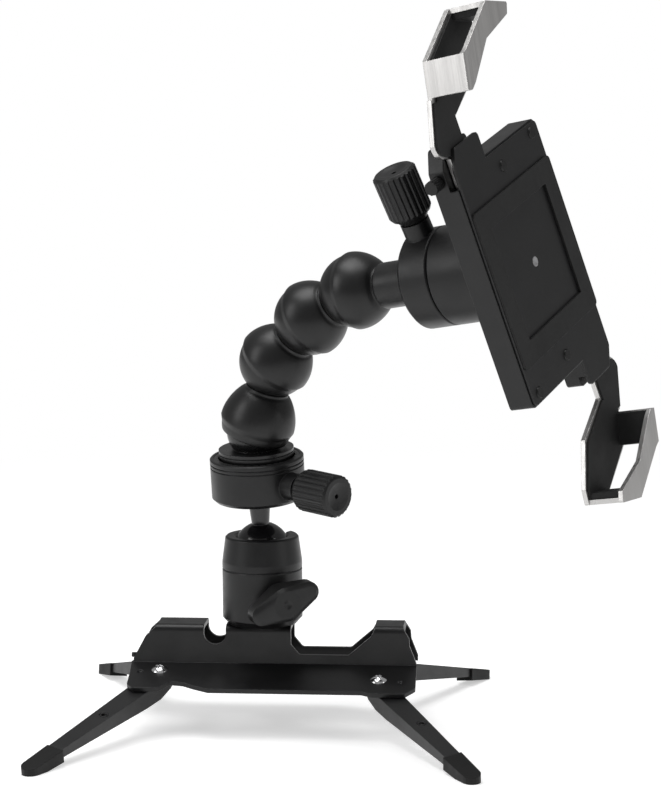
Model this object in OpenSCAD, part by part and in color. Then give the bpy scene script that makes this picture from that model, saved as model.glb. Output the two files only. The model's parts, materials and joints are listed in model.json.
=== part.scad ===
// Tabletop phone stand: a folding four-legged base, a mini ball head, two locking clamps,
// a bendable ball-and-cup arm and a phone holder with two corner clips.
// Millimetres. +X runs right along the base, +Y away from the viewer, +Z up.
// The origin lies on the ground, under the centre of the four feet.

/* [Base sheet] */
// Thickness of the folded base sheet
sheet = 1.5; // [1:0.1:2]
// Height of the base's top plate above the ground
top_z = 34.7; // [33:0.1:37]
// Half the depth of the base between its upright walls
wall_y = 6.6; // [6:0.1:8]
// Height of the fold where the walls turn out into the wings
fold_z = 22; // [21:0.1:23]
// Slope of the wings below the horizontal, in degrees
wing_slope = 16.1; // [15:0.5:18]
// Outer radius of the top bends
bend_r = 2.2; // [1.8:0.1:3]

/* [Legs] */
// Foot position along the base
foot_x = 70; // [66:0.5:74]
// Foot distance from the fold, along the wing's slope
foot_w = 64.2; // [62:0.1:65]
// Pivot of the near legs along the base
near_pivot_x = 36.3; // [35:0.1:38]
// Pivot of the near legs from the fold
near_pivot_w = 4.6; // [4.4:0.1:4.8]
// Pivot of the far legs along the base
far_pivot_x = 36.7; // [35:0.1:38]
// Pivot of the far legs from the fold
far_pivot_w = 9.4; // [9.2:0.1:9.6]
// Half width of a leg at its pivot
leg_root_r = 4; // [3.8:0.1:4.2]
// Half width of a leg at its tip
leg_tip_r = 2.2; // [1.8:0.1:2.4]
// Sheet thickness of a leg
leg_sheet = 1.1; // [0.8:0.1:1.4]
// Depth of a leg's channel at the pivot
leg_deep = 6; // [5:0.1:7]
// Depth of a leg's channel at the tip
leg_shallow = 1.9; // [1.7:0.1:2.1]
// Length of the rubber foot sleeve
tip_l = 15; // [10:0.5:18]
// Wall of the rubber foot sleeve
tip_wall = 0.7; // [0.5:0.1:1]
// Gap between wing and leg, filled by the washer
leg_gap = 0.4; // [0.35:0.05:0.6]
// Rivet shank radius
rivet_r = 1.5; // [1.2:0.1:1.8]
// Rivet head radius
rivet_head_r = 2.9; // [2.2:0.1:3]

/* [Ball head] */
// Ball head position along the base
head_x = -3; // [-6:0.5:0]
// Radius of the ball head housing
head_r = 13.3; // [12.8:0.1:14]
// Radius of the housing at its rim
rim_r = 11.7; // [11:0.1:12.2]
// Height of the housing
head_h = 29.5; // [28:0.5:31]
// Radius of the ball
ball_r = 9.5; // [9:0.1:9.8]
// Height of the ball's centre above the base's top plate
ball_up = 24.5; // [23.5:0.5:25.5]
// Lean of the ball's stem toward the viewer, in degrees
lean = 6.3; // [0:0.1:15]
// Direction of that lean, in degrees from +X
lean_az = -108; // [-180:1:180]
// Height of the wing knob's axis above the base's top plate
wing_up = 10.6; // [10:0.1:12]
// Direction of the wing knob's axis, in degrees from +X
wing_az = -64; // [-90:1:-40]
// Turn of the wing knob's bar from the horizontal, in degrees
wing_turn = 22; // [-90:1:90]
// Radius of the quarter inch tripod thread
thread_r = 3.175; // [3:0.005:3.2]

/* [Clamps] */
// Outer radius of a round clamp
clamp_r = 15.5; // [15:0.1:16.5]
// Height of the lower clamp's cup
lower_cup_h = 14.4; // [14:0.1:16]
// Height of the lower clamp's screw above the floor of its cup
lower_screw_up = 6.2; // [6:0.1:7]
// Thickness of the upper clamp's cup
upper_cup_h = 11; // [10.5:0.1:12]
// Distance from the ball's centre to the lower cup's floor
cup_up = 18; // [17:0.1:19]
// Radius of the turning plate in a cup
plate_r = 12.4; // [12:0.1:12.6]
// Radius of the stub below the turning plate
stub_r = 8.5; // [8:0.1:9]
// Distance from a clamp's axis to the outer end of its knob
knob_reach = 37.4; // [36.5:0.1:40]
// Radius of a clamp knob
knob_r = 6.9; // [6.5:0.1:7.3]
// Length of a clamp knob
knob_l = 17; // [15:0.5:18]
// Number of flutes around a clamp knob
flutes = 24; // [18:1:28]
// Radius of a clamp screw
screw_r = 2; // [1.8:0.1:2.2]
// Direction of the lower knob, in degrees from +X
lower_knob_az = -40; // [-60:1:-20]
// Direction of the upper knob, in degrees from the holder's long axis
upper_knob_turn = 26; // [0:1:45]

/* [Arm] */
// Height of the hub ball's centre above the lower cup's floor
hub_up = 22.6; // [22.4:0.1:24]
// Radius of the hub ball
hub_r = 9.3; // [9:0.1:9.4]
// Radius of the neck below the hub ball
neck_r = 6.7; // [6:0.1:6.8]
// Outer radius of each link's ball
link_r = 11.8; // [11.4:0.1:12]
// Outer radius of a link at its widest rim, next to its ball
link_rim = 12.4; // [12.1:0.1:12.6]
// Distance from the hub ball to the next joint
first_link_l = 25.3; // [25:0.1:26]
// Distance between the joints of the other links
link_l = 20.5; // [20:0.1:21]
// Outer radius of a link's cup lip
lip_r = 7.2; // [7:0.1:7.4]
// Direction in which the arm is bent, in degrees from +X
arm_az = -30.7; // [-60:0.1:0]
// Elevations of the four links and the holder axis, in degrees
link_el = [70, 45.5, 28.5, 9.9];
// Radius of the steel tension cable
cable_r = 0.6; // [0.5:0.05:0.65]
// Radius of the end shaft
shaft_r = 7.3; // [6.8:0.1:7.5]
// Distance from the last joint to the rear face of the end shaft
face_up = 10.9; // [10.6:0.1:11]
// Distance from the last joint to the upper clamp's floor
shaft_reach = 26; // [25:0.5:28]

/* [Phone holder] */
// Distance from the last joint to the rear of the holder's body
body_back = 57.8; // [56:0.1:60]
// Depth of the holder's body
body_t = 7.9; // [7.8:0.1:8.5]
// Thickness of the front cover
cover_t = 0.9; // [0.8:0.1:1.2]
// Tilt of the slide direction from the holder's long axis, in degrees
slide_tilt = 19.6; // [17:0.1:22]
// Half width of the holder's body, across the slide
body_p = 25.7; // [25.4:0.1:28]
// Reach of the body along the slide, on the side of each clip's tongue
body_q = 45.5; // [44.5:0.1:47]
// Reach of the body along the slide, away from each clip
body_q2 = 37; // [34:0.1:40]
// Cut of the body's corner beside each clip's tongue
corner_cut = 6; // [4:0.5:7]
// Thickness of a clip's steel
clip_sheet = 1.5; // [1.2:0.1:1.6]
// Distance from the holder's axis to the outer face of a clip's side wall
clip_u = 40.3; // [38:0.1:42]
// Distance from the holder's axis to the outer face of a clip's end wall
clip_v = 75.8; // [73:0.1:77]
// Depth of a clip from its base to its front strap
clip_deep = 14; // [13:0.1:15]
// Thickness of the rubber liner on a clip's base and tongue
liner_t = 0.7; // [0.5:0.1:0.8]
// Thickness of the rubber pads in a clip
pad_t = 2; // [1.5:0.1:2.5]
// Number of teeth on the pinion
teeth = 12; // [12:1:12]
// Tooth size of the pinion and racks
gear_m = 1; // [1:0.1:1]

/* [Fits] */
// Radial clearance of a turning fit
run_c = 0.05; // [0.03:0.01:0.1]
// Gap between parts that move past each other
gap = 0.3; // [0.25:0.05:0.4]

/* [Hidden] */
$fn = 64;
eps = 0.01;
ball_c = [head_x, 0, top_z + ball_up];
socket_r = ball_r + 0.08;
cup_bore = plate_r + 0.2;
ring_r = clamp_r - 1.3;
leg_z = -sheet - leg_gap;
near_l = norm([foot_x - near_pivot_x, foot_w - near_pivot_w]);
near_a = atan2(foot_w - near_pivot_w, foot_x - near_pivot_x);
far_l = norm([foot_x - far_pivot_x, foot_w - far_pivot_w]);
far_a = atan2(foot_w - far_pivot_w, far_pivot_x - foot_x);
hub_c = ball_c + (cup_up + hub_up) * aim(90 - lean, lean_az);
joint_1 = hub_c + first_link_l * aim(link_el[0], arm_az);
joint_2 = joint_1 + link_l * aim(link_el[1], arm_az);
joint_3 = joint_2 + link_l * aim(link_el[2], arm_az);
seat_r = link_r + run_c;
lip_up = sqrt(seat_r * seat_r - (lip_r - 0.3) * (lip_r - 0.3));
throat_r = 5.8;
body_front = body_back + body_t;
tongue_z = body_front - 0.3 - liner_t - clip_sheet;
clip_back = tongue_z;
peg_z = body_back + 2.3;
pitch_r = teeth * gear_m / 2;

// Unit vector at an elevation and a direction in degrees
function aim(el, az) = [cos(el) * cos(az), cos(el) * sin(az), sin(el)];

// ---- Frames ----
// Front and back wings: X along the base, Y outward along the wing, Z out of its face
module on_wing(side) {
    rotate([0, 0, side == "front" ? 180 : 0])
        translate([0, wall_y, fold_z])
            rotate([-wing_slope, 0, 0])
                children();
}

// A leg's pivot, with X along the leg
module on_leg(side, kind) {
    at = kind == "near" ? [near_pivot_x, near_pivot_w, 0] : [-far_pivot_x, far_pivot_w, 0];
    on_wing(side)
        translate(at)
            rotate([0, 0, kind == "near" ? near_a : far_a])
                children();
}

// The leaning stack on the ball, with Z along the stem
module on_stem() {
    translate(ball_c)
        rotate([0, 0, lean_az])
            rotate([0, lean, 0])
                rotate([0, 0, -lean_az])
                    children();
}

// The lower clamp, from the floor of its cup
module on_lower_clamp() {
    on_stem()
        translate([0, 0, cup_up])
            children();
}

// A joint of the arm, with Z along its link
module on_link(at, el) {
    translate(at)
        rotate([0, 90 - el, arm_az])
            children();
}

// The holder: X across the phone, Y along it, Z out through its screen
module on_holder() {
    on_link(joint_3, link_el[3])
        rotate([0, 0, 90])
            children();
}

// The holder's slides: Y along the travel of the upper clip
module on_slide() {
    on_holder()
        rotate([0, 0, slide_tilt])
            children();
}

// The upper clamp, from the floor of its cup
module on_upper_clamp() {
    on_holder()
        translate([0, 0, shaft_reach])
            children();
}

// ---- Shared shapes ----
// A round bar between two points
module stick(r, a, b) {
    d = b - a;
    translate(a)
        rotate([0, acos(d[2] / norm(d)), atan2(d[1], d[0])])
            cylinder(r = r, h = norm(d));
}

// A tube or ring standing on z = 0
module ring(outer, inner, h) {
    difference() {
        cylinder(r = outer, h = h);
        translate([0, 0, -1])
            cylinder(r = inner, h = h + 2);
    }
}

// Outline with its corners rounded outside and inside
module soften(r) {
    offset(r = r, $fn = 32)
        offset(delta = -2 * r)
            offset(r = r, $fn = 32)
                children();
}

// ---- Base ----
// Side view of the base's walls, with the two openings in their top edge
module wall_outline() {
    difference() {
        soften(0.7)
            polygon([[-46.6, fold_z - 4], [-45.7, 23.4], [-41.6, 30.9], [-38.6, 33.6], [-35.7, top_z + 4],
                [42.9, top_z + 4], [44.6, 33.6], [46.2, 31], [46.4, 28.3], [48.6, 22.6],
                [48.6, fold_z - 4]]);
        translate([-18.4, 31.9])
            circle(r = 3.7);
        translate([-22.1, 31.9])
            square([7.4, 10]);
        translate([7, 29])
            square([24, 12]);
        soften(1.4)
            polygon([[7, 42], [7, 28.4], [9.8, 25], [26.2, 25], [33.5, 31.3], [34.9, 34], [34.9, 42]]);
    }
}

// End view of the top plate and both walls, with the plate's top on y = 0
module hat_outline(half, r, down) {
    translate([-half, -down])
        square([2 * half, down - r]);
    translate([-half + r, -down])
        square([2 * (half - r), down]);
    for (s = [-1, 1])
        translate([s * (half - r), -r])
            circle(r = r);
}

// Plan of a wing: X along the base, Y outward from the fold
module wing_outline() {
    soften(1.2)
        polygon([[-48.7, -1.3], [-49, 14.5], [-45.6, 18.5], [-34.8, 18.5], [-31.5, 17.2], [18.8, 17.2],
            [24, 15], [27.5, 13.2], [31.8, 12.6], [35.2, 16.8], [43.6, 17], [45.8, 14.5], [46, 6],
            [46.6, -1.3]]);
}

// The folded sheet base: top plate, two walls and two wings
module chassis() {
    color([0.12, 0.12, 0.13])
        difference() {
            union() {
                intersection() {
                    rotate([90, 0, 90])
                        linear_extrude(110, center = true)
                            translate([0, top_z])
                                difference() {
                                    hat_outline(wall_y, bend_r, top_z - fold_z + 1.2);
                                    hat_outline_inside();
                                }
                    rotate([90, 0, 0])
                        linear_extrude(2 * wall_y + 2, center = true)
                            wall_outline();
                }
                for (side = ["front", "back"])
                    on_wing(side)
                        translate([0, 0, -sheet])
                            linear_extrude(sheet)
                                wing_outline();
            }
            translate([head_x, 0, top_z - 5])
                cylinder(r = thread_r + 0.15, h = 10);
            for (side = ["front", "back"])
                for (kind = ["near", "far"])
                    on_leg(side, kind)
                        translate([0, 0, -3])
                            cylinder(r = rivet_r, h = 6);
            for (side = ["front", "back"])
                for (x = [near_pivot_x + 6.2, -far_pivot_x - 7.2])
                    on_wing(side)
                        translate([x, x > 0 ? near_pivot_w + 1.8 : far_pivot_w + 2, -0.5])
                            cylinder(r1 = 0.7, r2 = 1.4, h = 1);
        }
}

module hat_outline_inside() {
    translate([0, -sheet])
        hat_outline(wall_y - sheet, bend_r - sheet, top_z - fold_z + 3);
}

// Points on part of a circle, from angle a to angle b
function arc(x, r, a, b) = [for (i = [0 : 8]) [x + r * cos(a + (b - a) * i / 8), r * sin(a + (b - a) * i / 8)]];

// Plan of a leg with a rounded root and tip, narrowed by t on every side
module leg_plan(reach, t) {
    polygon(concat(arc(0, leg_root_r - t, 90, 270), arc(reach, leg_tip_r - t, -90, 90)));
}

// Side view of a leg: full depth by the pivot, thinning to the tip, its end lowered by step
module leg_depth(l, drop, step) {
    translate([0, -leg_root_r - 1, 0])
        rotate([90, 0, 0])
            mirror([0, 0, 1])
                linear_extrude(2 * leg_root_r + 2)
                    polygon([[-leg_root_r - 1, leg_z], [l - tip_l, leg_z], [l - tip_l, leg_z - step],
                        [l + 2, leg_z - step], [l + 2, leg_z - leg_shallow - drop],
                        [12, leg_z - leg_deep - drop], [5, leg_z - leg_deep - drop],
                        [-leg_root_r - 1, leg_z - 3 - drop]]);
}

// A leg: an upside-down channel, pinched solid at the tip, with its pivot hole and a locating hole
module leg(l) {
    color([0.16, 0.16, 0.17])
        difference() {
            intersection() {
                translate([0, 0, leg_z - leg_deep - 1])
                    linear_extrude(leg_deep + 1)
                        leg_plan(l - leg_tip_r - tip_wall, 0);
                leg_depth(l, 0, tip_wall);
            }
            translate([0, 0, leg_z - leg_sheet - leg_deep])
                linear_extrude(leg_deep)
                    leg_plan(l - tip_l - 3, leg_sheet);
            translate([0, 0, leg_z - 4])
                cylinder(r = rivet_r + run_c, h = 8);
            translate([0.44 * l, 0.6, leg_z - 4])
                cylinder(r = 1, h = 8);
            translate([0.44 * l, 0.6, leg_z - 0.3])
                ring(1.7, 1.3, 1);
        }
}

// A rubber sleeve on the end of a leg, worn flat on the ground
module foot(side, kind, l) {
    reach = l - leg_tip_r - tip_wall;
    color([0.08, 0.08, 0.08])
        difference() {
            on_leg(side, kind)
                difference() {
                    intersection() {
                        translate([l - tip_l + 0.02, -6, leg_z - 12])
                            cube([tip_l + 4, 12, 12]);
                        translate([0, 0, leg_z - leg_deep - 2])
                            linear_extrude(leg_deep + 2)
                                leg_plan(reach, -tip_wall);
                        leg_depth(l, tip_wall + 0.6, 0);
                    }
                    intersection() {
                        translate([0, 0, leg_z - leg_deep - 1])
                            linear_extrude(leg_deep + 1)
                                leg_plan(reach, -0.02);
                        leg_depth(l, 0.02, tip_wall - 0.02);
                    }
                }
            translate([-150, -150, -20])
                cube([300, 300, 20]);
        }
}

module leg_front_left() { on_leg("front", "near") leg(near_l); }
module leg_front_right() { on_leg("front", "far") leg(far_l); }
module leg_back_left() { on_leg("back", "far") leg(far_l); }
module leg_back_right() { on_leg("back", "near") leg(near_l); }
module foot_front_left() { foot("front", "near", near_l); }
module foot_front_right() { foot("front", "far", far_l); }
module foot_back_left() { foot("back", "far", far_l); }
module foot_back_right() { foot("back", "near", near_l); }

// A rivet through wing, washer and leg, with a cross in its domed head
module rivet() {
    leg_under = leg_z - leg_sheet;
    translate([0, 0, leg_under - gap])
        cylinder(r = rivet_r, h = gap - leg_under + 0.1);
    translate([0, 0, leg_under - gap - 0.8])
        cylinder(r = rivet_head_r - 0.3, h = 0.8);
    difference() {
        intersection() {
            cylinder(r = rivet_head_r, h = 1.3);
            translate([0, 0, -2.6])
                sphere(r = 3.85);
        }
        for (a = [0, 90])
            rotate([0, 0, a + 20])
                translate([-1.3, -0.3, 0.7])
                    cube([2.6, 0.6, 2]);
    }
}

module leg_rivets() {
    color([0.85, 0.85, 0.86])
        for (side = ["front", "back"])
            for (kind = ["near", "far"])
                on_leg(side, kind)
                    rivet();
}

module leg_washers() {
    color([0.75, 0.75, 0.7])
        for (side = ["front", "back"])
            for (kind = ["near", "far"])
                on_leg(side, kind)
                    translate([0, 0, leg_z + 0.05])
                        ring(3.3, rivet_r + run_c, leg_gap - 0.1);
}

// The tripod screw that holds the ball head, with a slotted head under the base
module base_screw() {
    color([0.7, 0.7, 0.72])
        translate([head_x, 0, top_z - sheet]) {
            translate([0, 0, -1])
                cylinder(r = thread_r, h = sheet + 4);
            difference() {
                translate([0, 0, -4])
                    cylinder(r = 4.6, h = 3);
                translate([-5, -0.7, -5])
                    cube([10, 1.4, 2]);
            }
        }
}

module base_washer() {
    color([0.6, 0.6, 0.62])
        translate([head_x, 0, top_z - sheet - 1])
            ring(4.3, thread_r + 0.05, 1);
}

// ---- Ball head ----
// The turned housing: chamfered foot, straight side, tapered neck and a thick open rim
module head_housing() {
    color([0.11, 0.11, 0.12])
        translate([head_x, 0, top_z])
            difference() {
                rotate_extrude()
                    polygon([[0, 0], [head_r - 1.9, 0], [head_r, 2.2], [head_r, 18.3], [head_r - 0.3, 18.6],
                        [head_r, 18.9], [head_r, 21], [rim_r + 0.5, head_h - 0.5],
                        [rim_r, head_h], [0, head_h]]);
                translate([0, 0, -1])
                    cylinder(r = socket_r, h = ball_up + 1);
                translate([0, 0, ball_up])
                    sphere(r = socket_r);
                translate([0, 0, head_h - 0.9])
                    cylinder(r1 = 8, r2 = 9.6, h = 1);
                rotate([0, 0, 62])
                    translate([0, 0, ball_up + 1.2])
                        rotate([0, 90, 0])
                            cylinder(r = 4.1, h = 20);
                rotate([0, 0, 62])
                    translate([0, -4.1, ball_up + 1.2])
                        cube([20, 8.2, 10]);
                rotate([0, 0, wing_az])
                    translate([0, 0, wing_up])
                        rotate([0, 90, 0])
                            cylinder(r = screw_r + 0.5 + run_c, h = 20);
            }
}

// The threaded plug that closes the housing from below
module head_base_plug() {
    color([0.55, 0.55, 0.57])
        translate([head_x, 0, top_z])
            ring(socket_r - 0.02, thread_r, 5);
}

// The piston that the lock screw's cone pushes up
module pressure_piston() {
    color([0.6, 0.6, 0.62])
        translate([head_x, 0, top_z + 5.4])
            difference() {
                cylinder(r = socket_r - 0.1, h = 9.4);
                rotate([0, 0, wing_az])
                    translate([-3.2, 0, wing_up - 5.4])
                        rotate([0, 90, 0]) {
                            cylinder(r1 = 0.6, r2 = 3.2, h = 5.4);
                            translate([0, 0, 5.4 - eps])
                                cylinder(r = 3.2, h = 20);
                        }
            }
}

// The plastic cup that carries the ball
module ball_seat() {
    color([0.85, 0.85, 0.8])
        difference() {
            translate([head_x, 0, top_z + 15.1])
                cylinder(r = socket_r - 0.06, h = 5.4);
            translate(ball_c)
                sphere(r = ball_r + run_c);
        }
}

// The ball with its stem and the thread that carries the lower clamp
module ball_stud() {
    color([0.05, 0.05, 0.05])
        on_stem() {
            sphere(r = ball_r);
            translate([0, 0, 8.6])
                cylinder(r1 = 2.9, r2 = 3.8, h = cup_up - 8.6);
            translate([0, 0, cup_up - 1])
                cylinder(r = thread_r, h = 4);
        }
}

// The steel screw of the wing knob, with a cone that lifts the piston
module lock_screw() {
    color([0.75, 0.75, 0.76])
        translate([head_x, 0, top_z + wing_up])
            rotate([0, 0, wing_az])
                rotate([0, 90, 0]) {
                    translate([0, 0, -0.6])
                        cylinder(r1 = 0.4, r2 = screw_r + 0.5, h = 4);
                    translate([0, 0, 3.4 - eps])
                        cylinder(r = screw_r + 0.5, h = 16);
                }
}

// The two-lobed wing knob
module wing_knob() {
    color([0.13, 0.13, 0.13])
        translate([head_x, 0, top_z + wing_up])
            rotate([0, 0, wing_az])
                rotate([0, 90, 0])
                    rotate([0, 0, 90 + wing_turn])
                        translate([0, 0, head_r + gap])
                            difference() {
                                union() {
                                    cylinder(r1 = 4.4, r2 = 5.6, h = 3.4);
                                    for (s = [-1, 1])
                                        hull() {
                                            translate([0, 0, 2.8])
                                                cylinder(r = 5.7, h = 7.6, $fn = 32);
                                            translate([0, 0, 3.2])
                                                cylinder(r = 4.6, h = 8.2, $fn = 32);
                                            translate([s * 8.6, 0, 4.6])
                                                cylinder(r = 3.5, h = 4.6, $fn = 32);
                                            translate([s * 8.6, 0, 4])
                                                cylinder(r = 2.3, h = 6, $fn = 32);
                                        }
                                }
                                translate([0, 0, -1])
                                    cylinder(r = screw_r + 0.5, h = 7);
                                translate([0, 0, 13.4])
                                    sphere(r = 2.5);
                            }
}

// ---- Clamps ----
// A cup with its screw boss: Z out of its mouth, X toward the knob, the screw at height at
module cup(h, base, mouth, at) {
    difference() {
        union() {
            rotate_extrude()
                polygon([[0, 0], [clamp_r - 1.2, 0], [clamp_r, 1.2], [clamp_r, h - 0.4], [clamp_r - 0.4, h],
                    [0, h]]);
            translate([0, 0, at])
                rotate([0, 90, 0])
                    cylinder(r = 4.6, h = knob_reach - knob_l - gap);
        }
        translate([0, 0, base])
            cylinder(r = cup_bore, h = h);
        translate([0, 0, at])
            rotate([0, 90, 0])
                cylinder(r = screw_r + run_c, h = 40);
        if (mouth > 1) {
            translate([0, 0, h - mouth])
                cylinder(r = ring_r, h = h);
            for (z = [h - 1.9, h - 3.1])
                translate([0, 0, z])
                    ring(clamp_r + 1, clamp_r - 0.35, 0.4);
        }
    }
}

// The brass shoe that the clamp screw pushes into the groove of the turning stub
module shoe(h) {
    color([0.72, 0.6, 0.3])
        intersection() {
            translate([0, 0, h / 2])
                rotate([0, 90, 0])
                    cylinder(r = 2.6, h = 20);
            difference() {
                ring(cup_bore - gap, stub_r - 0.9 + gap, h);
                for (s = [0, 1])
                    translate([0, 0, h / 2])
                        mirror([0, 0, s])
                            rotate_extrude()
                                polygon([[stub_r - 1, 0.8], [stub_r + gap, 1.7], [stub_r + gap, 6],
                                    [stub_r - 1, 6]]);
            }
        }
}

// The clamp screw, from the shoe to the inside of the knob
module clamp_screw(h) {
    color([0.75, 0.75, 0.76])
        translate([0, 0, h / 2])
            rotate([0, 90, 0])
                translate([0, 0, cup_bore])
                    cylinder(r = screw_r, h = knob_reach - cup_bore - 6);
}

// A fluted knob with a recessed domed end and a small centre hole
module knob(h) {
    color([0.12, 0.12, 0.12])
        translate([knob_reach - knob_l, 0, h / 2])
            rotate([0, 90, 0])
                difference() {
                    union() {
                        cylinder(r1 = 4.4, r2 = 5.6, h = 2);
                        translate([0, 0, 1.9])
                            cylinder(r1 = 6.2, r2 = knob_r, h = 1.2);
                        translate([0, 0, 3])
                            cylinder(r = knob_r, h = knob_l - 3.8);
                        translate([0, 0, knob_l - 0.9])
                            cylinder(r1 = knob_r, r2 = knob_r - 0.9, h = 0.9);
                    }
                    for (i = [0 : flutes - 1])
                        rotate([0, 0, i * 360 / flutes])
                            translate([knob_r + 0.25, 0, 2.6])
                                cylinder(r = 0.6, h = knob_l);
                    translate([0, 0, -1])
                        cylinder(r = screw_r, h = knob_l - 5);
                    translate([0, 0, knob_l + 12.4])
                        sphere(r = 13.2);
                    translate([0, 0, knob_l - 2.4])
                        cylinder(r = 0.75, h = 4);
                }
}

// The turning stub under a plate, with the groove for the shoe and a wide collar in the cup's bore
module stub(h, base, collar) {
    difference() {
        union() {
            translate([0, 0, base + gap])
                cylinder(r = stub_r, h = h / 2 + 3.1 - base);
            translate([0, 0, h / 2 + 3])
                cylinder(r = cup_bore - run_c, h = collar - h / 2 - 3);
        }
        translate([0, 0, h / 2])
            rotate_extrude()
                polygon([[stub_r - 0.9, -1.4], [stub_r + 1, -2.6], [stub_r + 1, 2.6], [stub_r - 0.9, 1.4]]);
    }
}

module in_lower_clamp() {
    on_lower_clamp()
        rotate([0, 0, lower_knob_az])
            children();
}

module lower_cup() {
    color([0.13, 0.13, 0.14])
        difference() {
            in_lower_clamp()
                cup(lower_cup_h, 3.2, 2.6, lower_screw_up);
            on_lower_clamp()
                translate([0, 0, -1])
                    cylinder(r = thread_r, h = 8);
        }
}

// The ribbed ring in the lower cup's mouth
module lower_grip_ring() {
    color([0.2, 0.2, 0.2])
        on_lower_clamp()
            translate([0, 0, lower_cup_h - 2.55])
                difference() {
                    ring(ring_r - 0.05, plate_r + 0.3, 2.4);
                    for (i = [0 : 35])
                        rotate([0, 0, i * 10])
                            translate([plate_r, -0.25, 1.4])
                                cube([0.9, 0.5, 2]);
                }
}

module lower_shoe() { in_lower_clamp() shoe(2 * lower_screw_up); }
module lower_clamp_screw() { in_lower_clamp() clamp_screw(2 * lower_screw_up); }
module lower_knob() { in_lower_clamp() knob(2 * lower_screw_up); }

// The turning plate with its neck and the hub ball that the arm rides on
module hub_plate() {
    color([0.09, 0.09, 0.1])
        on_lower_clamp()
            difference() {
                union() {
                    stub(2 * lower_screw_up, 3.2, lower_cup_h - 2.8);
                    translate([0, 0, lower_cup_h - 2.9])
                        cylinder(r = plate_r - 0.6, h = 3.4);
                    translate([0, 0, lower_cup_h + 0.4])
                        cylinder(r = plate_r, h = 0.9);
                    translate([0, 0, lower_cup_h + 1.2])
                        cylinder(r = plate_r - 0.5, h = 0.5);
                    translate([0, 0, lower_cup_h + 1.6])
                        cylinder(r = plate_r, h = 1.1);
                    translate([0, 0, lower_cup_h + 2.6])
                        cylinder(r = neck_r, h = 4);
                    translate([0, 0, hub_up])
                        sphere(r = hub_r);
                }
                translate([0, 0, 4])
                    cylinder(r = cable_r + 0.2, h = 40);
                translate([0, 0, 4])
                    cylinder(r = 4.6, h = 7.8);
            }
}

// ---- Arm ----
// Radius of a link's shoulder at height z, from its ball's middle up to its lip
function shoulder(z, top) = lip_r + (link_rim - lip_r) * pow(cos(90 * z / top), 0.75);

// Outline of a link from just below its rim up to its lip, in steps
function shoulder_points(from, top) = concat(
    [[0, from - 2], [sqrt(link_r * link_r - 4) - 0.03, from - 2], [link_rim - 0.3, from - 0.8]],
    [for (i = [0 : 14]) [shoulder(i * (top - 0.9) / 15, top - 0.9), from + i * (top - 0.9) / 15]]);

// The first link: an open bell over the hub ball, with a cup for the next ball at its top
module arm_link_1() {
    middle = 3.2;
    lip = first_link_l - lip_up;
    color([0.14, 0.14, 0.15])
        on_link(hub_c, link_el[0])
            difference() {
                union() {
                    rotate_extrude()
                        polygon(concat(shoulder_points(middle, lip - middle),
                            [[lip_r, lip - 0.9], [lip_r, lip], [0, lip]]));
                    intersection() {
                        translate([0, 0, middle])
                            sphere(r = link_r);
                        translate([0, 0, -1.2])
                            cylinder(r = 15, h = middle + 1.2);
                    }
                }
                sphere(r = hub_r + run_c);
                translate([0, 0, first_link_l])
                    sphere(r = seat_r);
                cylinder(r = 7.4, h = hub_r - 1);
                translate([0, 0, 6])
                    cylinder(r = throat_r + 0.2, h = 40);
                translate([0, 0, lip - 2.7])
                    cylinder(r = lip_r - 0.7, h = 5);
            }
}

// A link with a ball below and a cup above
module arm_link(at, el) {
    lip = link_l - lip_up;
    color([0.14, 0.14, 0.15])
        on_link(at, el)
            difference() {
                union() {
                    rotate_extrude()
                        polygon(concat(shoulder_points(0, lip),
                            [[lip_r, lip - 0.9], [lip_r, lip], [0, lip]]));
                    intersection() {
                        sphere(r = link_r);
                        translate([0, 0, -15])
                            cylinder(r = 15, h = 15);
                    }
                }
                translate([0, 0, link_l])
                    sphere(r = seat_r);
                translate([0, 0, -20])
                    cylinder(r = cable_r + 0.3, h = 30);
                translate([0, 0, 1.5])
                    cylinder(r = throat_r + 0.2, h = 40);
                translate([0, 0, lip - 2.7])
                    cylinder(r = lip_r - 0.7, h = 5);
            }
}

module arm_link_2() { arm_link(joint_1, link_el[1]); }
module arm_link_3() { arm_link(joint_2, link_el[2]); }

// The last link: like the others, but faced off for the end shaft
module arm_link_4() {
    color([0.14, 0.14, 0.15])
        on_link(joint_3, link_el[3])
            difference() {
                union() {
                    rotate_extrude()
                        polygon(concat(shoulder_points(0, link_l - lip_up),
                            [[lip_r - 0.6, face_up - 0.5], [lip_r - 0.6, face_up], [0, face_up]]));
                    intersection() {
                        sphere(r = link_r);
                        translate([0, 0, -15])
                            cylinder(r = 15, h = 15);
                    }
                }
                translate([0, 0, -20])
                    cylinder(r = cable_r + 0.3, h = 40);
                translate([0, 0, 4])
                    cylinder(r = 4.5, h = 10);
            }
}

// A seat ring in a link's lip: the liner that the next ball turns in
module seat_ring(at, el, l) {
    color([0.45, 0.45, 0.46])
        on_link(at, el)
            difference() {
                translate([0, 0, l - lip_up - 2.6])
                    ring(lip_r - 0.7 - run_c, throat_r, 2.9);
                translate([0, 0, l])
                    sphere(r = link_r + run_c);
            }
}

// The liner above the hub ball
module seat_ring_hub() {
    color([0.45, 0.45, 0.46])
        on_link(hub_c, link_el[0])
            difference() {
                translate([0, 0, 5.9])
                    ring(7.35, throat_r + 0.3, 2.3);
                sphere(r = hub_r + run_c);
            }
}

module seat_ring_1() { seat_ring(hub_c, link_el[0], first_link_l); }
module seat_ring_2() { seat_ring(joint_1, link_el[1], link_l); }
module seat_ring_3() { seat_ring(joint_2, link_el[2], link_l); }

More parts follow.
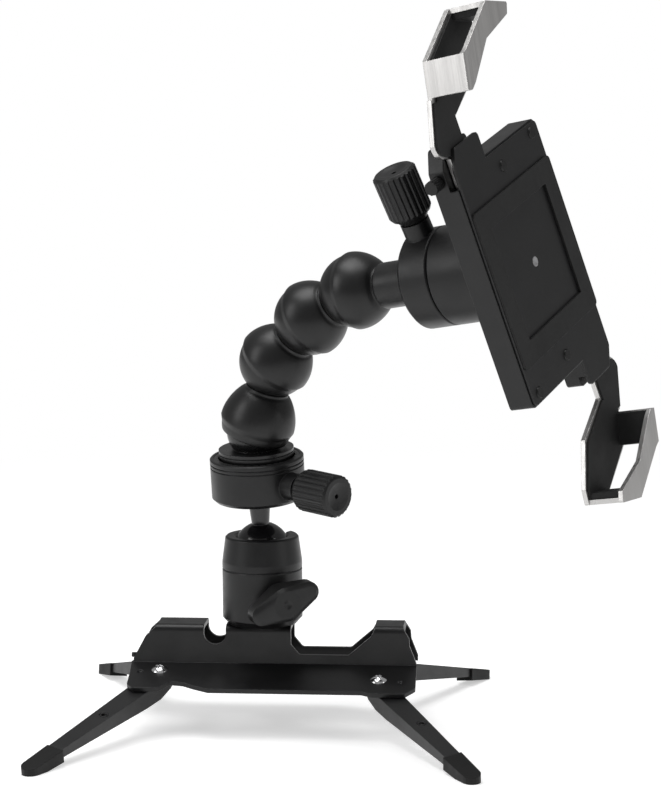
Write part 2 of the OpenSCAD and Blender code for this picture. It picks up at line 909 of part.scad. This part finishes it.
// The round shaft from the last link to the upper clamp
module end_shaft() {
    color([0.14, 0.14, 0.15])
        on_link(joint_3, link_el[3])
            difference() {
                union() {
                    translate([0, 0, face_up])
                        cylinder(r1 = shaft_r - 0.8, r2 = shaft_r, h = 0.7);
                    translate([0, 0, face_up + 0.6])
                        cylinder(r = shaft_r, h = shaft_reach - face_up - 0.6);
                    translate([0, 0, 4])
                        cylinder(r = 4.5, h = face_up - 3.8);
                    translate([0, 0, shaft_reach - 1])
                        cylinder(r = 5, h = 3.5);
                }
                translate([0, 0, 3])
                    cylinder(r = cable_r + 0.3, h = 40);
                translate([0, 0, shaft_reach - 1.6])
                    cylinder(r = 3.2, h = 5);
            }
}

// The cable's fixed end in the hub, with its swaged stop
module cable_hub() {
    color([0.7, 0.7, 0.72])
        on_lower_clamp() {
            translate([0, 0, 6.2])
                cylinder(r = cable_r, h = hub_up + hub_r - 6.7);
            translate([0, 0, 5.2])
                cylinder(r = 2.4, h = 2.4);
        }
}

// The stack of spring washers that keeps the cable tight
module cable_spring() {
    color([0.55, 0.55, 0.57])
        on_lower_clamp()
            for (i = [0 : 3])
                translate([0, 0, 7.7 + i * 1.02])
                    ring(4, cable_r + 0.15, 0.95);
}

// One link's length of cable, from its ball's foot to just short of the next ball
module cable(at, el, from, up, l, next_el) {
    turn = el - next_el;
    reach = link_r + 1.1;
    color([0.7, 0.7, 0.72])
        on_link(at, el) {
            translate([0, 0, from])
                cylinder(r = cable_r, h = up - from);
            translate([0, 0, up - 0.1])
                sphere(r = cable_r + 0.2);
            stick(cable_r, [0, 0, up], [-reach * sin(turn), 0, l - reach * cos(turn)]);
        }
}

module cable_link_1() {
    below = acos(aim(90 - lean, lean_az) * aim(link_el[0], arm_az));
    middle = (hub_r + first_link_l - link_r) / 2;
    cable(hub_c, link_el[0], hub_r * cos(below) + 1, middle, first_link_l, link_el[1]);
}

module cable_link_2() { cable(joint_1, link_el[1], 0.3 - link_r, 2.6, link_l, link_el[2]); }
module cable_link_3() { cable(joint_2, link_el[2], 0.3 - link_r, 2.6, link_l, link_el[3]); }

module cable_link_4() {
    color([0.7, 0.7, 0.72])
        on_link(joint_3, link_el[3])
            translate([0, 0, 0.3 - link_r])
                cylinder(r = cable_r, h = link_r + shaft_reach + 1.8);
}

// The swaged end of the cable in the shaft
module cable_nut() {
    color([0.6, 0.6, 0.62])
        on_link(joint_3, link_el[3])
            translate([0, 0, shaft_reach - 1.55])
                ring(2.9, cable_r + 0.02, 3.4);
}

// ---- Upper clamp ----
module in_upper_clamp() {
    on_upper_clamp()
        rotate([0, 0, 90 + upper_knob_turn])
            children();
}

module upper_cup() {
    color([0.13, 0.13, 0.14])
        difference() {
            in_upper_clamp()
                cup(upper_cup_h, 2.6, 0, upper_cup_h / 2);
            on_upper_clamp()
                translate([0, 0, -1])
                    cylinder(r = 5, h = 8);
        }
}

module upper_shoe() { in_upper_clamp() shoe(upper_cup_h); }
module upper_clamp_screw() { in_upper_clamp() clamp_screw(upper_cup_h); }
module upper_knob() { in_upper_clamp() knob(upper_cup_h); }

// The turning plate that carries the holder: its stub sits in the upper cup
module swivel_plate() {
    plate_back = upper_cup_h + gap;
    flange = body_back - shaft_reach;
    color([0.13, 0.13, 0.14])
        on_upper_clamp()
            difference() {
                union() {
                    stub(upper_cup_h, 2.6, upper_cup_h + gap + 0.1);
                    rotate_extrude()
                        polygon([[0, plate_back], [clamp_r - 0.4, plate_back], [clamp_r, plate_back + 0.4],
                            [clamp_r, flange - 0.8], [clamp_r - 0.8, flange], [0, flange]]);
                }
                for (i = [0 : 3])
                    rotate([0, 0, 45 + i * 90])
                        translate([8, 0, flange - 7])
                            cylinder(r = 1.25, h = 12);
                translate([0, 0, 2])
                    cylinder(r = 5.4, h = 6);
            }
}

// Four screws that hold the holder's body on the swivel plate
module swivel_screws() {
    color([0.3, 0.3, 0.31])
        on_holder()
            for (i = [0 : 3])
                rotate([0, 0, 45 + i * 90])
                    translate([8, 0, body_back]) {
                        translate([0, 0, -6])
                            cylinder(r = 1.25, h = 8.2);
                        translate([0, 0, 2.1])
                            cylinder(r = 2.2, h = 1.4);
                    }
}

// ---- Phone holder ----
// One half of the holder's outline: a rail along one edge
module rail_outline(inset) {
    left = inset - body_p;
    top = body_q - inset;
    polygon([[left, inset - body_q2], [inset - 8, inset - body_q2], [inset - 8, top],
        [left + 0.6 * corner_cut, top], [left, top - corner_cut]]);
}

// The holder's whole outline: two rails joined across the middle
module holder_outline(inset) {
    soften(1.6)
        union() {
            for (a = [0, 180])
                rotate([0, 0, a])
                    rail_outline(inset);
            translate([-12, -body_q2 + inset])
                square([24, 2 * (body_q2 - inset)]);
        }
}

// Where one slider's tongue and rack run inside the body
module slider_pocket() {
    translate([-22.9, -30.4])
        square([10.7, 82]);
    translate([-13, -30.4])
        square([8.4, 65.2]);
    translate([-40, 33.2])
        square([27.8, 20]);
    translate([-40, 42])
        square([36, 14]);
}

// The body: a thick plate with a pocket for the two sliders
module holder_body() {
    color([0.1, 0.1, 0.11])
        difference() {
            on_slide()
                translate([0, 0, body_back])
                    linear_extrude(body_t)
                        holder_outline(0);
            on_slide()
                translate([0, 0, tongue_z - 0.3]) {
                    for (a = [0, 180])
                        rotate([0, 0, a])
                            linear_extrude(5)
                                slider_pocket();
                    cylinder(r = 8, h = 5);
                    translate([0, 0, -2.4])
                        cylinder(r = 1.5, h = 5);
                }
            on_holder()
                for (i = [0 : 3])
                    rotate([0, 0, 45 + i * 90])
                        translate([8, 0, body_back - 1]) {
                            cylinder(r = 1.35, h = 8);
                            translate([0, 0, 3])
                                cylinder(r = 2.3, h = 8);
                        }
            on_slide()
                translate([0, 0, body_front - 4])
                    cover_screw_places()
                        cylinder(r = 1, h = 6);
            on_slide()
                translate([-40, 36.6, peg_z])
                    rotate([0, 90, 0])
                        cylinder(r = 1.2 + run_c, h = 48 - body_p);
        }
}

// The thin front cover over the sliders
module holder_cover() {
    color([0.1, 0.1, 0.11])
        on_slide()
            translate([0, 0, body_front])
                difference() {
                    linear_extrude(cover_t)
                        holder_outline(0.5);
                    cover_screw_places()
                        translate([0, 0, -1])
                            cylinder(r = 1.15, h = 4);
                    translate([0, 0, -1])
                        cylinder(r = 1.5, h = 4);
                }
}

module cover_screw_places() {
    for (a = [0, 180])
        rotate([0, 0, a]) {
            translate([0, 31, 0])
                children();
            translate([-20.9, -33.7, 0])
                children();
        }
}

// Four small screws that hold the cover
module cover_screws() {
    color([0.3, 0.3, 0.31])
        on_slide()
            translate([0, 0, body_front])
                cover_screw_places() {
                    translate([0, 0, -3.6])
                        cylinder(r = 1, h = 3.6 + cover_t);
                    translate([0, 0, cover_t])
                        cylinder(r1 = 1.9, r2 = 1.6, h = 0.5);
                }
}

// The rubber pad that the phone's face rests on
module face_pad() {
    color([0.07, 0.07, 0.07])
        on_slide()
            translate([0, 0, body_front + cover_t])
                linear_extrude(0.8)
                    soften(1.5)
                        difference() {
                            translate([-25, -25])
                                square([50, 50]);
                            translate([-18, -18])
                                square([36, 36]);
                        }
}

// Plan of a clip's base between its two walls, in the holder's own axes
module clip_base_outline() {
    soften(0.8)
        polygon([[-clip_u, 47], [-clip_u, 60.5], [-24.6, clip_v], [-13.8, clip_v], [-13, 71], [-17, 56],
            [-30, 44]]);
}

// Plan of a clip's front strap, running across the phone's corner
module clip_strap_outline() {
    soften(0.6)
        polygon([[-clip_u, 49.8], [-clip_u, 60.3], [-38.4, 61.6], [-24.4, clip_v], [-12.6, clip_v],
            [-13.4, 72.2], [-26.6, 64.8], [-35.8, 52.2], [-38, 50], [-39, 49.8]]);
}

// Plan of the tongue and rack that slide in the body, in the slide's axes
module tongue_outline() {
    polygon([[-22.6, -22], [-22.6, 42.1], [-26.4, 43.6], [-27.8, 45], [-28.4, 46.6], [-28.4, 48.1],
        [-22.2, 60], [-13, 60], [-13, -22]]);
    translate([-14, -22])
        square([14 - pitch_r - 0.8, 42]);
}

// A tooth of the racks and the pinion, with its pitch line at x = 0
module tooth() {
    polygon([[-1.2, -0.9], [-0.8, -0.8], [0.65, -0.3], [0.65, 0.3], [-0.8, 0.8], [-1.2, 0.9]]);
}

// One clip with its tongue and rack: the upper one as drawn, the lower one turned half round
module clip() {
    front = clip_back + clip_deep;
    color([0.78, 0.77, 0.76]) {
        on_clip_axes() {
            translate([0, 0, clip_back])
                linear_extrude(clip_sheet)
                    clip_base_outline();
            translate([0, 0, front - clip_sheet])
                linear_extrude(clip_sheet)
                    clip_strap_outline();
            translate([-clip_u, 49.8, clip_back])
                cube([clip_sheet, 10.6, clip_deep]);
            translate([-24.5, clip_v - clip_sheet, clip_back])
                cube([10.4, clip_sheet, clip_deep]);
        }
        on_slide_axes() {
            translate([0, 0, tongue_z])
                linear_extrude(clip_sheet)
                    tongue_outline();
            for (i = [-6 : 6])
                translate([-pitch_r, i * PI * gear_m, tongue_z])
                    linear_extrude(clip_sheet)
                        tooth();
        }
    }
}

module on_clip_axes() { on_holder() children(); }
module on_slide_axes() { on_slide() children(); }

module upper_clip() { clip(); }
module lower_clip() { half_turn() clip(); }

// Half a turn about the holder's axis
module half_turn() {
    on_holder()
        rotate([0, 0, 180])
            undo_holder()
                children();
}

// The inverse of on_holder
module undo_holder() {
    rotate([0, 0, -90])
        rotate([0, link_el[3] - 90, 0])
            rotate([0, 0, -arm_az])
                translate(-joint_3)
                    children();
}

// The rubber in a clip: a liner on its base and tongue, and a pad on each wall
module clip_pads() {
    front = clip_back + clip_deep - clip_sheet - 0.2;
    low = clip_back + clip_sheet;
    color([0.07, 0.07, 0.07]) {
        on_holder() {
            translate([-clip_u + clip_sheet, 50.2, low])
                cube([pad_t, 9.8, front - low]);
            translate([-24.1, clip_v - clip_sheet - pad_t, low])
                cube([9.6, pad_t, front - low]);
            translate([0, 0, low])
                linear_extrude(liner_t)
                    polygon([[-clip_u + clip_sheet, 47.6], [-clip_u + clip_sheet, 60],
                        [-24.6, clip_v - clip_sheet],
                        [-14.4, clip_v - clip_sheet], [-13.8, 71], [-17.8, 56.8], [-30, 45]]);
        }
        on_slide()
            translate([0, 0, low])
                linear_extrude(liner_t)
                    polygon([[-22.2, -14], [-22.2, 42.6], [-26, 44.2], [-27.2, 45.3], [-27.8, 46.8],
                        [-27.8, 47.9], [-22, 58.9], [-13.8, 58.9], [-13.8, -14]]);
    }
}

module upper_clip_pads() { clip_pads(); }
module lower_clip_pads() { half_turn() clip_pads(); }

// The pinion that makes both clips move together
module pinion() {
    color([0.8, 0.8, 0.76])
        on_slide()
            translate([0, 0, tongue_z])
                difference() {
                    union() {
                        cylinder(r = pitch_r - 0.9 * gear_m, h = clip_sheet);
                        for (i = [0 : teeth - 1])
                            rotate([0, 0, (i + 0.5) * 360 / teeth])
                                translate([pitch_r, 0, 0])
                                    linear_extrude(clip_sheet)
                                        tooth();
                    }
                    translate([0, 0, -1])
                        cylinder(r = 1.5 + run_c, h = 4);
                }
}

module pinion_pin() {
    color([0.75, 0.75, 0.76])
        on_slide()
            translate([0, 0, tongue_z - 2.6])
                cylinder(r = 1.5, h = 2.9 + clip_sheet + liner_t + cover_t);
}

// The small screw or peg at the body's edge, behind the upper tongue
module slide_lock_screw() {
    color([0.12, 0.12, 0.12])
        on_slide()
            translate([-body_p - 4.6, 36.6, peg_z])
                rotate([0, 90, 0]) {
                    difference() {
                        cylinder(r = 2.1, h = 4.3);
                        for (i = [0 : 11])
                            rotate([0, 0, i * 30])
                                translate([2.25, 0, -1])
                                    cylinder(r = 0.3, h = 6);
                    }
                    translate([0, 0, 4.2])
                        cylinder(r = 1.2, h = 7);
                }
}

chassis();
leg_front_left();
leg_front_right();
leg_back_left();
leg_back_right();
foot_front_left();
foot_front_right();
foot_back_left();
foot_back_right();
leg_rivets();
leg_washers();
base_screw();
base_washer();
head_housing();
head_base_plug();
pressure_piston();
ball_seat();
ball_stud();
lock_screw();
wing_knob();
lower_cup();
lower_grip_ring();
lower_shoe();
lower_clamp_screw();
lower_knob();
hub_plate();
seat_ring_hub();
arm_link_1();
seat_ring_1();
arm_link_2();
seat_ring_2();
arm_link_3();
seat_ring_3();
arm_link_4();
end_shaft();
cable_hub();
cable_spring();
cable_link_1();
cable_link_2();
cable_link_3();
cable_link_4();
cable_nut();
upper_cup();
upper_shoe();
upper_clamp_screw();
upper_knob();
swivel_plate();
swivel_screws();
holder_body();
holder_cover();
cover_screws();
face_pad();
upper_clip();
lower_clip();
upper_clip_pads();
lower_clip_pads();
pinion();
pinion_pin();
slide_lock_screw();
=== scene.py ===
import json
import math

import bpy
from mathutils import Matrix, Vector


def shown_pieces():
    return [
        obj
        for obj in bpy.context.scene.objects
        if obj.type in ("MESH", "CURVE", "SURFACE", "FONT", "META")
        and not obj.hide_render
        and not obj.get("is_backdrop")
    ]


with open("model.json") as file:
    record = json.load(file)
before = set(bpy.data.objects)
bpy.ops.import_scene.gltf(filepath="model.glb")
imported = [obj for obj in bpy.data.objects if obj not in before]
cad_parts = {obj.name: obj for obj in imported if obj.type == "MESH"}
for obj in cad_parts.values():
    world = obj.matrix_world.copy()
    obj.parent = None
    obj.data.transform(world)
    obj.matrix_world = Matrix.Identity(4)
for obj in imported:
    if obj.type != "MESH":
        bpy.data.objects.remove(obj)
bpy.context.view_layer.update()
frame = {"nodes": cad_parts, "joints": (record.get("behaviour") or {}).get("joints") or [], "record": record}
nodes = frame["nodes"]

# ---- Camera: solved from the phone in the photograph, then held ----
W, H = 661, 800
LONG = max(W, H)
CAM_AT = Vector((0.08766, -0.75869, 0.20801))
YAW, PITCH, ROLL = -5.08, 7.37, -0.41
FOCAL_PX = 2331.4
SENSOR = 36.0


def camera():
    yaw, pitch, roll = (math.radians(a) for a in (YAW, PITCH, ROLL))
    ahead = Vector((math.sin(yaw) * math.cos(pitch), math.cos(yaw) * math.cos(pitch), -math.sin(pitch)))
    right = Vector((math.cos(yaw), -math.sin(yaw), 0))
    up = right.cross(ahead)
    r = right * math.cos(roll) + up * math.sin(roll)
    u = up * math.cos(roll) - right * math.sin(roll)
    data = bpy.data.cameras.new("camera")
    data.sensor_fit = "AUTO"
    data.sensor_width = SENSOR
    data.lens = FOCAL_PX * SENSOR / LONG
    data.shift_x = 0.0
    data.shift_y = 0.0
    data.clip_start = 0.01
    data.clip_end = 20
    cam = bpy.data.objects.new("camera", data)
    cam.matrix_world = Matrix.Translation(CAM_AT) @ Matrix((r, u, -ahead)).transposed().to_4x4()
    bpy.context.scene.collection.objects.link(cam)
    bpy.context.scene.camera = cam
    return cam


cam = camera()


def to_image(p):
    q = cam.matrix_world.inverted() @ Vector(p)
    k = cam.data.lens / cam.data.sensor_width * LONG / -q.z
    return W / 2 + q.x * k, H / 2 - q.y * k


# ---- Procedural materials ----
def shade(name):
    m = bpy.data.materials.new(name)
    m.use_nodes = True
    nt = m.node_tree
    bsdf = nt.nodes["Principled BSDF"]
    return m, nt, bsdf


def link(nt, a, b):
    nt.links.new(a, b)


def node(nt, kind, **values):
    n = nt.nodes.new(kind)
    for k, v in values.items():
        if hasattr(n, k):
            setattr(n, k, v)
        else:
            n.inputs[k].default_value = v
    return n


def noise(nt, at, scale, detail=2.0, rough=0.5):
    n = node(nt, "ShaderNodeTexNoise")
    n.inputs["Scale"].default_value = scale
    n.inputs["Detail"].default_value = detail
    n.inputs["Roughness"].default_value = rough
    link(nt, at, n.inputs["Vector"])
    return n.outputs["Fac"]


def ramp(nt, fac, low, high, a=0.0, b=1.0):
    n = node(nt, "ShaderNodeMapRange")
    n.inputs["From Min"].default_value = low
    n.inputs["From Max"].default_value = high
    n.inputs["To Min"].default_value = a
    n.inputs["To Max"].default_value = b
    link(nt, fac, n.inputs["Value"])
    return n.outputs["Result"]


def mix(nt, fac, a, b):
    n = node(nt, "ShaderNodeMix", data_type="RGBA")
    if isinstance(fac, float):
        n.inputs[0].default_value = fac
    else:
        link(nt, fac, n.inputs[0])
    for s, v in ((6, a), (7, b)):
        if isinstance(v, tuple):
            n.inputs[s].default_value = (*v, 1)
        else:
            link(nt, v, n.inputs[s])
    return n.outputs[2]


def edges(nt, mm):
    """A softened normal, and a mask that is 1 along sharp outer edges."""
    bev = node(nt, "ShaderNodeBevel", samples=6)
    bev.inputs["Radius"].default_value = mm / 1000
    geo = node(nt, "ShaderNodeNewGeometry")
    dot = node(nt, "ShaderNodeVectorMath", operation="DOT_PRODUCT")
    link(nt, bev.outputs["Normal"], dot.inputs[0])
    link(nt, geo.outputs["Normal"], dot.inputs[1])
    return bev.outputs["Normal"], ramp(nt, dot.outputs["Value"], 0.995, 0.86)


def bump(nt, height, strength, dist_mm, normal):
    n = node(nt, "ShaderNodeBump")
    n.inputs["Strength"].default_value = strength
    n.inputs["Distance"].default_value = dist_mm / 1000
    link(nt, height, n.inputs["Height"])
    link(nt, normal, n.inputs["Normal"])
    return n.outputs["Normal"]


def moulded(name, base, light, rough, grain_mm, depth, edge_mm, edge_highlight, spec):
    """Grained plastic or powder coat: mottled colour, fine bump, handled sheen and paler edges, the paler
    edges being a painted edge highlight.
    """
    m, nt, b = shade(name)
    at = node(nt, "ShaderNodeTexCoord").outputs["Object"]
    normal, edge = edges(nt, edge_mm)
    cloud = ramp(nt, noise(nt, at, 70, 3), 0.3, 0.7)
    speck = ramp(nt, noise(nt, at, 1000 / (grain_mm * 2.5), 2), 0.35, 0.65)
    col = mix(nt, cloud, tuple(c * 0.86 for c in base), tuple(c * 1.16 for c in base))
    col = mix(nt, ramp(nt, speck, 0, 1, 0.0, 0.25), col, tuple(c * 1.5 for c in base))
    # Painted edge highlight: sharp edges are mixed toward the paler edge colour and broken up by noise,
    # standing in for glossy edge highlights.
    edge_highlight_breakup = ramp(nt, noise(nt, at, 420, 4, 0.7), 0.35, 0.6, 0.3, 1.0)
    mask = node(nt, "ShaderNodeMath", operation="MULTIPLY")
    link(nt, edge, mask.inputs[0])
    link(nt, edge_highlight_breakup, mask.inputs[1])
    strength = node(nt, "ShaderNodeMath", operation="MULTIPLY")
    link(nt, mask.outputs[0], strength.inputs[0])
    strength.inputs[1].default_value = edge_highlight
    col = mix(nt, strength.outputs[0], col, light)
    link(nt, col, b.inputs["Base Color"])
    smear = noise(nt, at, 130, 4, 0.6)
    link(nt, ramp(nt, smear, 0.3, 0.7, rough - 0.05, rough + 0.07), b.inputs["Roughness"])
    b.inputs["Specular IOR Level"].default_value = spec
    grain = noise(nt, at, 1000 / grain_mm, 2, 0.6)
    link(nt, bump(nt, grain, 0.6, depth, normal), b.inputs["Normal"])
    return m


def brushed(name, base, rough, along, across):
    """Brushed metal: fine streaks along one direction, with a little staining."""
    stretch, mottle = 40.0, 0.08
    m, nt, b = shade(name)
    at = node(nt, "ShaderNodeTexCoord").outputs["Object"]
    normal = edges(nt, 0.15)[0]
    dirs = []
    third = along.cross(across)
    for d, k in ((along, 1 / stretch), (across, 1.0), (third, 1.0)):
        n = node(nt, "ShaderNodeVectorMath", operation="DOT_PRODUCT")
        link(nt, at, n.inputs[0])
        n.inputs[1].default_value = d * k
        dirs.append(n.outputs["Value"])
    comb = node(nt, "ShaderNodeCombineXYZ")
    for i in range(3):
        link(nt, dirs[i], comb.inputs[i])
    streak = noise(nt, comb.outputs[0], 3500, 3, 0.7)
    broad = noise(nt, comb.outputs[0], 900, 2, 0.5)
    stain = ramp(nt, noise(nt, at, 45, 3), 0.3, 0.7)
    col = mix(nt, ramp(nt, streak, 0.3, 0.7), tuple(c * (1 - mottle) for c in base),
              tuple(min(1, c * (1 + mottle)) for c in base))
    col = mix(nt, ramp(nt, stain, 0, 1, 0.0, 0.3), col, tuple(c * 0.86 for c in base))
    link(nt, col, b.inputs["Base Color"])
    b.inputs["Metallic"].default_value = 1.0
    link(nt, ramp(nt, broad, 0.3, 0.7, rough - 0.05, rough + 0.08), b.inputs["Roughness"])
    link(nt, bump(nt, streak, 0.5, 0.006, normal), b.inputs["Normal"])
    return m


def turned(name, base, rough, metal):
    """Plated or polished metal: faint blotches and hair scratches."""
    m, nt, b = shade(name)
    at = node(nt, "ShaderNodeTexCoord").outputs["Object"]
    normal = edges(nt, 0.15)[0]
    blot = ramp(nt, noise(nt, at, 300, 4, 0.6), 0.35, 0.65)
    col = mix(nt, blot, tuple(c * 0.9 for c in base), tuple(min(1, c * 1.06) for c in base))
    link(nt, col, b.inputs["Base Color"])
    b.inputs["Metallic"].default_value = metal
    link(nt, ramp(nt, noise(nt, at, 900, 3), 0.3, 0.7, rough * 0.8, rough * 1.35), b.inputs["Roughness"])
    link(nt, bump(nt, noise(nt, at, 5000, 2), 0.3, 0.004, normal), b.inputs["Normal"])
    return m


def unit(v):
    return Vector(v).normalized()


joint = {j["name"]: j for j in frame["joints"]}
OUT = unit(joint["holder_swivel"]["axis"])
SLIDE = unit(joint["upper_clip_slide"]["axis"])
TILT = math.radians(19.6)
ALONG = (SLIDE * math.cos(TILT) + OUT.cross(SLIDE) * math.sin(-TILT)).normalized()
SIDE = ALONG.cross(OUT).normalized()

# Moulded and coated: colour, edge colour (painted edge highlight), roughness, grain mm, grain depth mm, edge
# mm, painted edge highlight strength, specular
MOULDED = {
    "chassis_coat": ((0.006, 0.006, 0.0063), (0.07, 0.07, 0.075), 0.36, 0.35, 0.018, 0.4, 0.35, 0.35),
    "leg_coat": ((0.011, 0.011, 0.0115), (0.08, 0.08, 0.085), 0.38, 0.35, 0.018, 0.4, 0.35, 0.4),
    "foot_rubber": ((0.007, 0.007, 0.007), (0.03, 0.03, 0.03), 0.55, 0.6, 0.03, 0.5, 0.3, 0.25),
    "washer": ((0.42, 0.42, 0.4), (0.5, 0.5, 0.48), 0.5, 0.5, 0.01, 0.2, 0.2, 0.5),
    "head_coat": ((0.006, 0.006, 0.0063), (0.07, 0.07, 0.075), 0.36, 0.3, 0.016, 0.4, 0.4, 0.38),
    "seat_plastic": ((0.6, 0.6, 0.57), (0.7, 0.7, 0.68), 0.45, 0.6, 0.01, 0.2, 0.2, 0.5),
    "knob_plastic": ((0.0065, 0.0065, 0.0067), (0.06, 0.06, 0.06), 0.4, 0.4, 0.02, 0.3, 0.35, 0.38),
    "clamp_coat": ((0.0065, 0.0065, 0.0068), (0.07, 0.07, 0.075), 0.36, 0.35, 0.014, 0.4, 0.35, 0.38),
    "grip_ring": ((0.02, 0.02, 0.02), (0.09, 0.09, 0.09), 0.4, 0.4, 0.02, 0.2, 0.35, 0.5),
    "hub_black": ((0.008, 0.008, 0.0085), (0.07, 0.07, 0.07), 0.3, 0.3, 0.012, 0.3, 0.35, 0.45),
    "arm_plastic": ((0.006, 0.006, 0.0062), (0.04, 0.04, 0.04), 0.36, 0.32, 0.014, 0.9, 0.12, 0.42),
    "seat_ring": ((0.2, 0.2, 0.2), (0.3, 0.3, 0.3), 0.4, 0.4, 0.01, 0.2, 0.2, 0.5),
    "swivel_plastic": ((0.0065, 0.0065, 0.0067), (0.06, 0.06, 0.06), 0.38, 0.35, 0.016, 0.4, 0.35, 0.38),
    "holder_plastic": ((0.0065, 0.0065, 0.0068), (0.06, 0.06, 0.06), 0.37, 0.35, 0.016, 0.5, 0.35, 0.38),
    "pad_rubber": ((0.012, 0.012, 0.012), (0.04, 0.04, 0.04), 0.65, 0.5, 0.04, 0.3, 0.3, 0.3),
    "pinion_plastic": ((0.5, 0.5, 0.48), (0.6, 0.6, 0.58), 0.45, 0.5, 0.01, 0.2, 0.2, 0.5),
}
# Plated, polished and turned: colour, roughness, metallic
TURNED = {
    "rivet_chrome": ((0.82, 0.82, 0.83), 0.12, 1.0),
    "zinc_steel": ((0.6, 0.6, 0.61), 0.3, 1.0),
    "ball_black": ((0.008, 0.008, 0.009), 0.13, 0.0),
    "shoe_brass": ((0.62, 0.45, 0.2), 0.35, 1.0),
    "cable_steel": ((0.55, 0.55, 0.57), 0.3, 1.0),
    "black_screw": ((0.02, 0.02, 0.02), 0.35, 0.6),
}
MATS = {name: moulded(name, *row) for name, row in MOULDED.items()}
MATS.update({name: turned(name, *row) for name, row in TURNED.items()})
MATS["clip_steel"] = brushed("clip_steel", (0.6, 0.59, 0.58), 0.36, ALONG, SIDE)

slot_of = {s["node"]: s["material_slot"] for s in frame["record"]["subparts"]}
for name, ob in nodes.items():
    ob.data.materials.clear()
    ob.data.materials.append(MATS[slot_of[name]])

# ---- Floor, world and lamps ----
FLOOR_SIZE = 2.6
FLOOR_GLOW = 0.5  # Own light of the floor, so that it shows white outside the shadow
SHADOW_FROM, SHADOW_TO = 0.16, 0.6  # The floor fades to plain white over these distances
WORLD_LIGHT, WORLD_SEEN = 0.3, 1.0


def plain_floor():
    bpy.ops.mesh.primitive_plane_add(size=FLOOR_SIZE, location=(0, 0.2, 0))
    f = bpy.context.object
    f.name = "floor"
    m, nt, b = shade("floor")
    out = nt.nodes["Material Output"]
    nt.nodes.remove(b)
    diff = node(nt, "ShaderNodeBsdfDiffuse")
    diff.inputs["Color"].default_value = (0.8, 0.8, 0.8, 1)
    path = node(nt, "ShaderNodeLightPath")
    seen = node(nt, "ShaderNodeMath", operation="MAXIMUM")
    link(nt, path.outputs["Is Camera Ray"], seen.inputs[0])
    link(nt, path.outputs["Is Glossy Ray"], seen.inputs[1])
    glow = node(nt, "ShaderNodeEmission")
    glow.inputs["Color"].default_value = (1, 1, 1, 1)
    amount = node(nt, "ShaderNodeMath", operation="MULTIPLY")
    link(nt, seen.outputs[0], amount.inputs[0])
    amount.inputs[1].default_value = FLOOR_GLOW
    link(nt, amount.outputs[0], glow.inputs["Strength"])
    add = node(nt, "ShaderNodeAddShader")
    link(nt, diff.outputs[0], add.inputs[0])
    link(nt, glow.outputs[0], add.inputs[1])
    # Away from the object the floor gives way to plain white, so no horizon shows
    at = node(nt, "ShaderNodeNewGeometry").outputs["Position"]
    far = node(nt, "ShaderNodeVectorMath", operation="LENGTH")
    link(nt, at, far.inputs[0])
    plain = node(nt, "ShaderNodeEmission")
    plain.inputs["Color"].default_value = (1, 1, 1, 1)
    fade = ramp(nt, far.outputs["Value"], SHADOW_FROM, SHADOW_TO)
    blend = node(nt, "ShaderNodeMixShader")
    hide = node(nt, "ShaderNodeMath", operation="MULTIPLY")
    link(nt, fade, hide.inputs[0])
    link(nt, seen.outputs[0], hide.inputs[1])
    link(nt, hide.outputs[0], blend.inputs[0])
    link(nt, add.outputs[0], blend.inputs[1])
    link(nt, plain.outputs[0], blend.inputs[2])
    link(nt, blend.outputs[0], out.inputs["Surface"])
    f.data.materials.append(m)
    f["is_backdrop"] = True


plain_floor()

world = bpy.data.worlds.new("studio")
bpy.context.scene.world = world
world.use_nodes = True
wt = world.node_tree
back = wt.nodes["Background"]
back.inputs["Color"].default_value = (1, 1, 1, 1)
path = node(wt, "ShaderNodeLightPath")
seen = node(wt, "ShaderNodeMath", operation="MAXIMUM")
link(wt, path.outputs["Is Camera Ray"], seen.inputs[0])
link(wt, path.outputs["Is Transmission Ray"], seen.inputs[1])
level = ramp(wt, seen.outputs[0], 0, 1, WORLD_LIGHT, WORLD_SEEN)
link(wt, level, back.inputs["Strength"])


def lamp(name, at, aim, wide, power, tall):
    data = bpy.data.lights.new(name, "AREA")
    data.energy = power
    data.shape = "RECTANGLE"
    data.size = wide
    data.size_y = tall
    ob = bpy.data.objects.new(name, data)
    ob.location = at
    ob.rotation_euler = (Vector(aim) - Vector(at)).to_track_quat("-Z", "Y").to_euler()
    bpy.context.scene.collection.objects.link(ob)


lamp("top_softbox", (-0.15, -0.1, 1.15), (0.02, 0, 0.1), 0.7, 7.5, 0.7)
lamp("left_softbox", (-0.95, -0.55, 0.6), (0, 0, 0.12), 0.45, 3.4, 0.8)
lamp("right_softbox", (1.0, -0.35, 0.55), (0, 0, 0.12), 0.35, 2.6, 0.8)

bpy.context.scene.view_settings.view_transform = "Standard"


# ---- Where things show in the image ----
def shown_vertices():
    pts = []
    dep = bpy.context.evaluated_depsgraph_get()
    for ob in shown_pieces():
        ev = ob.evaluated_get(dep)
        me = ev.to_mesh()
        pts += [to_image(ob.matrix_world @ v.co) for v in me.vertices]
        ev.to_mesh_clear()
    return pts


def write_points():
    at = shown_vertices()


write_points()
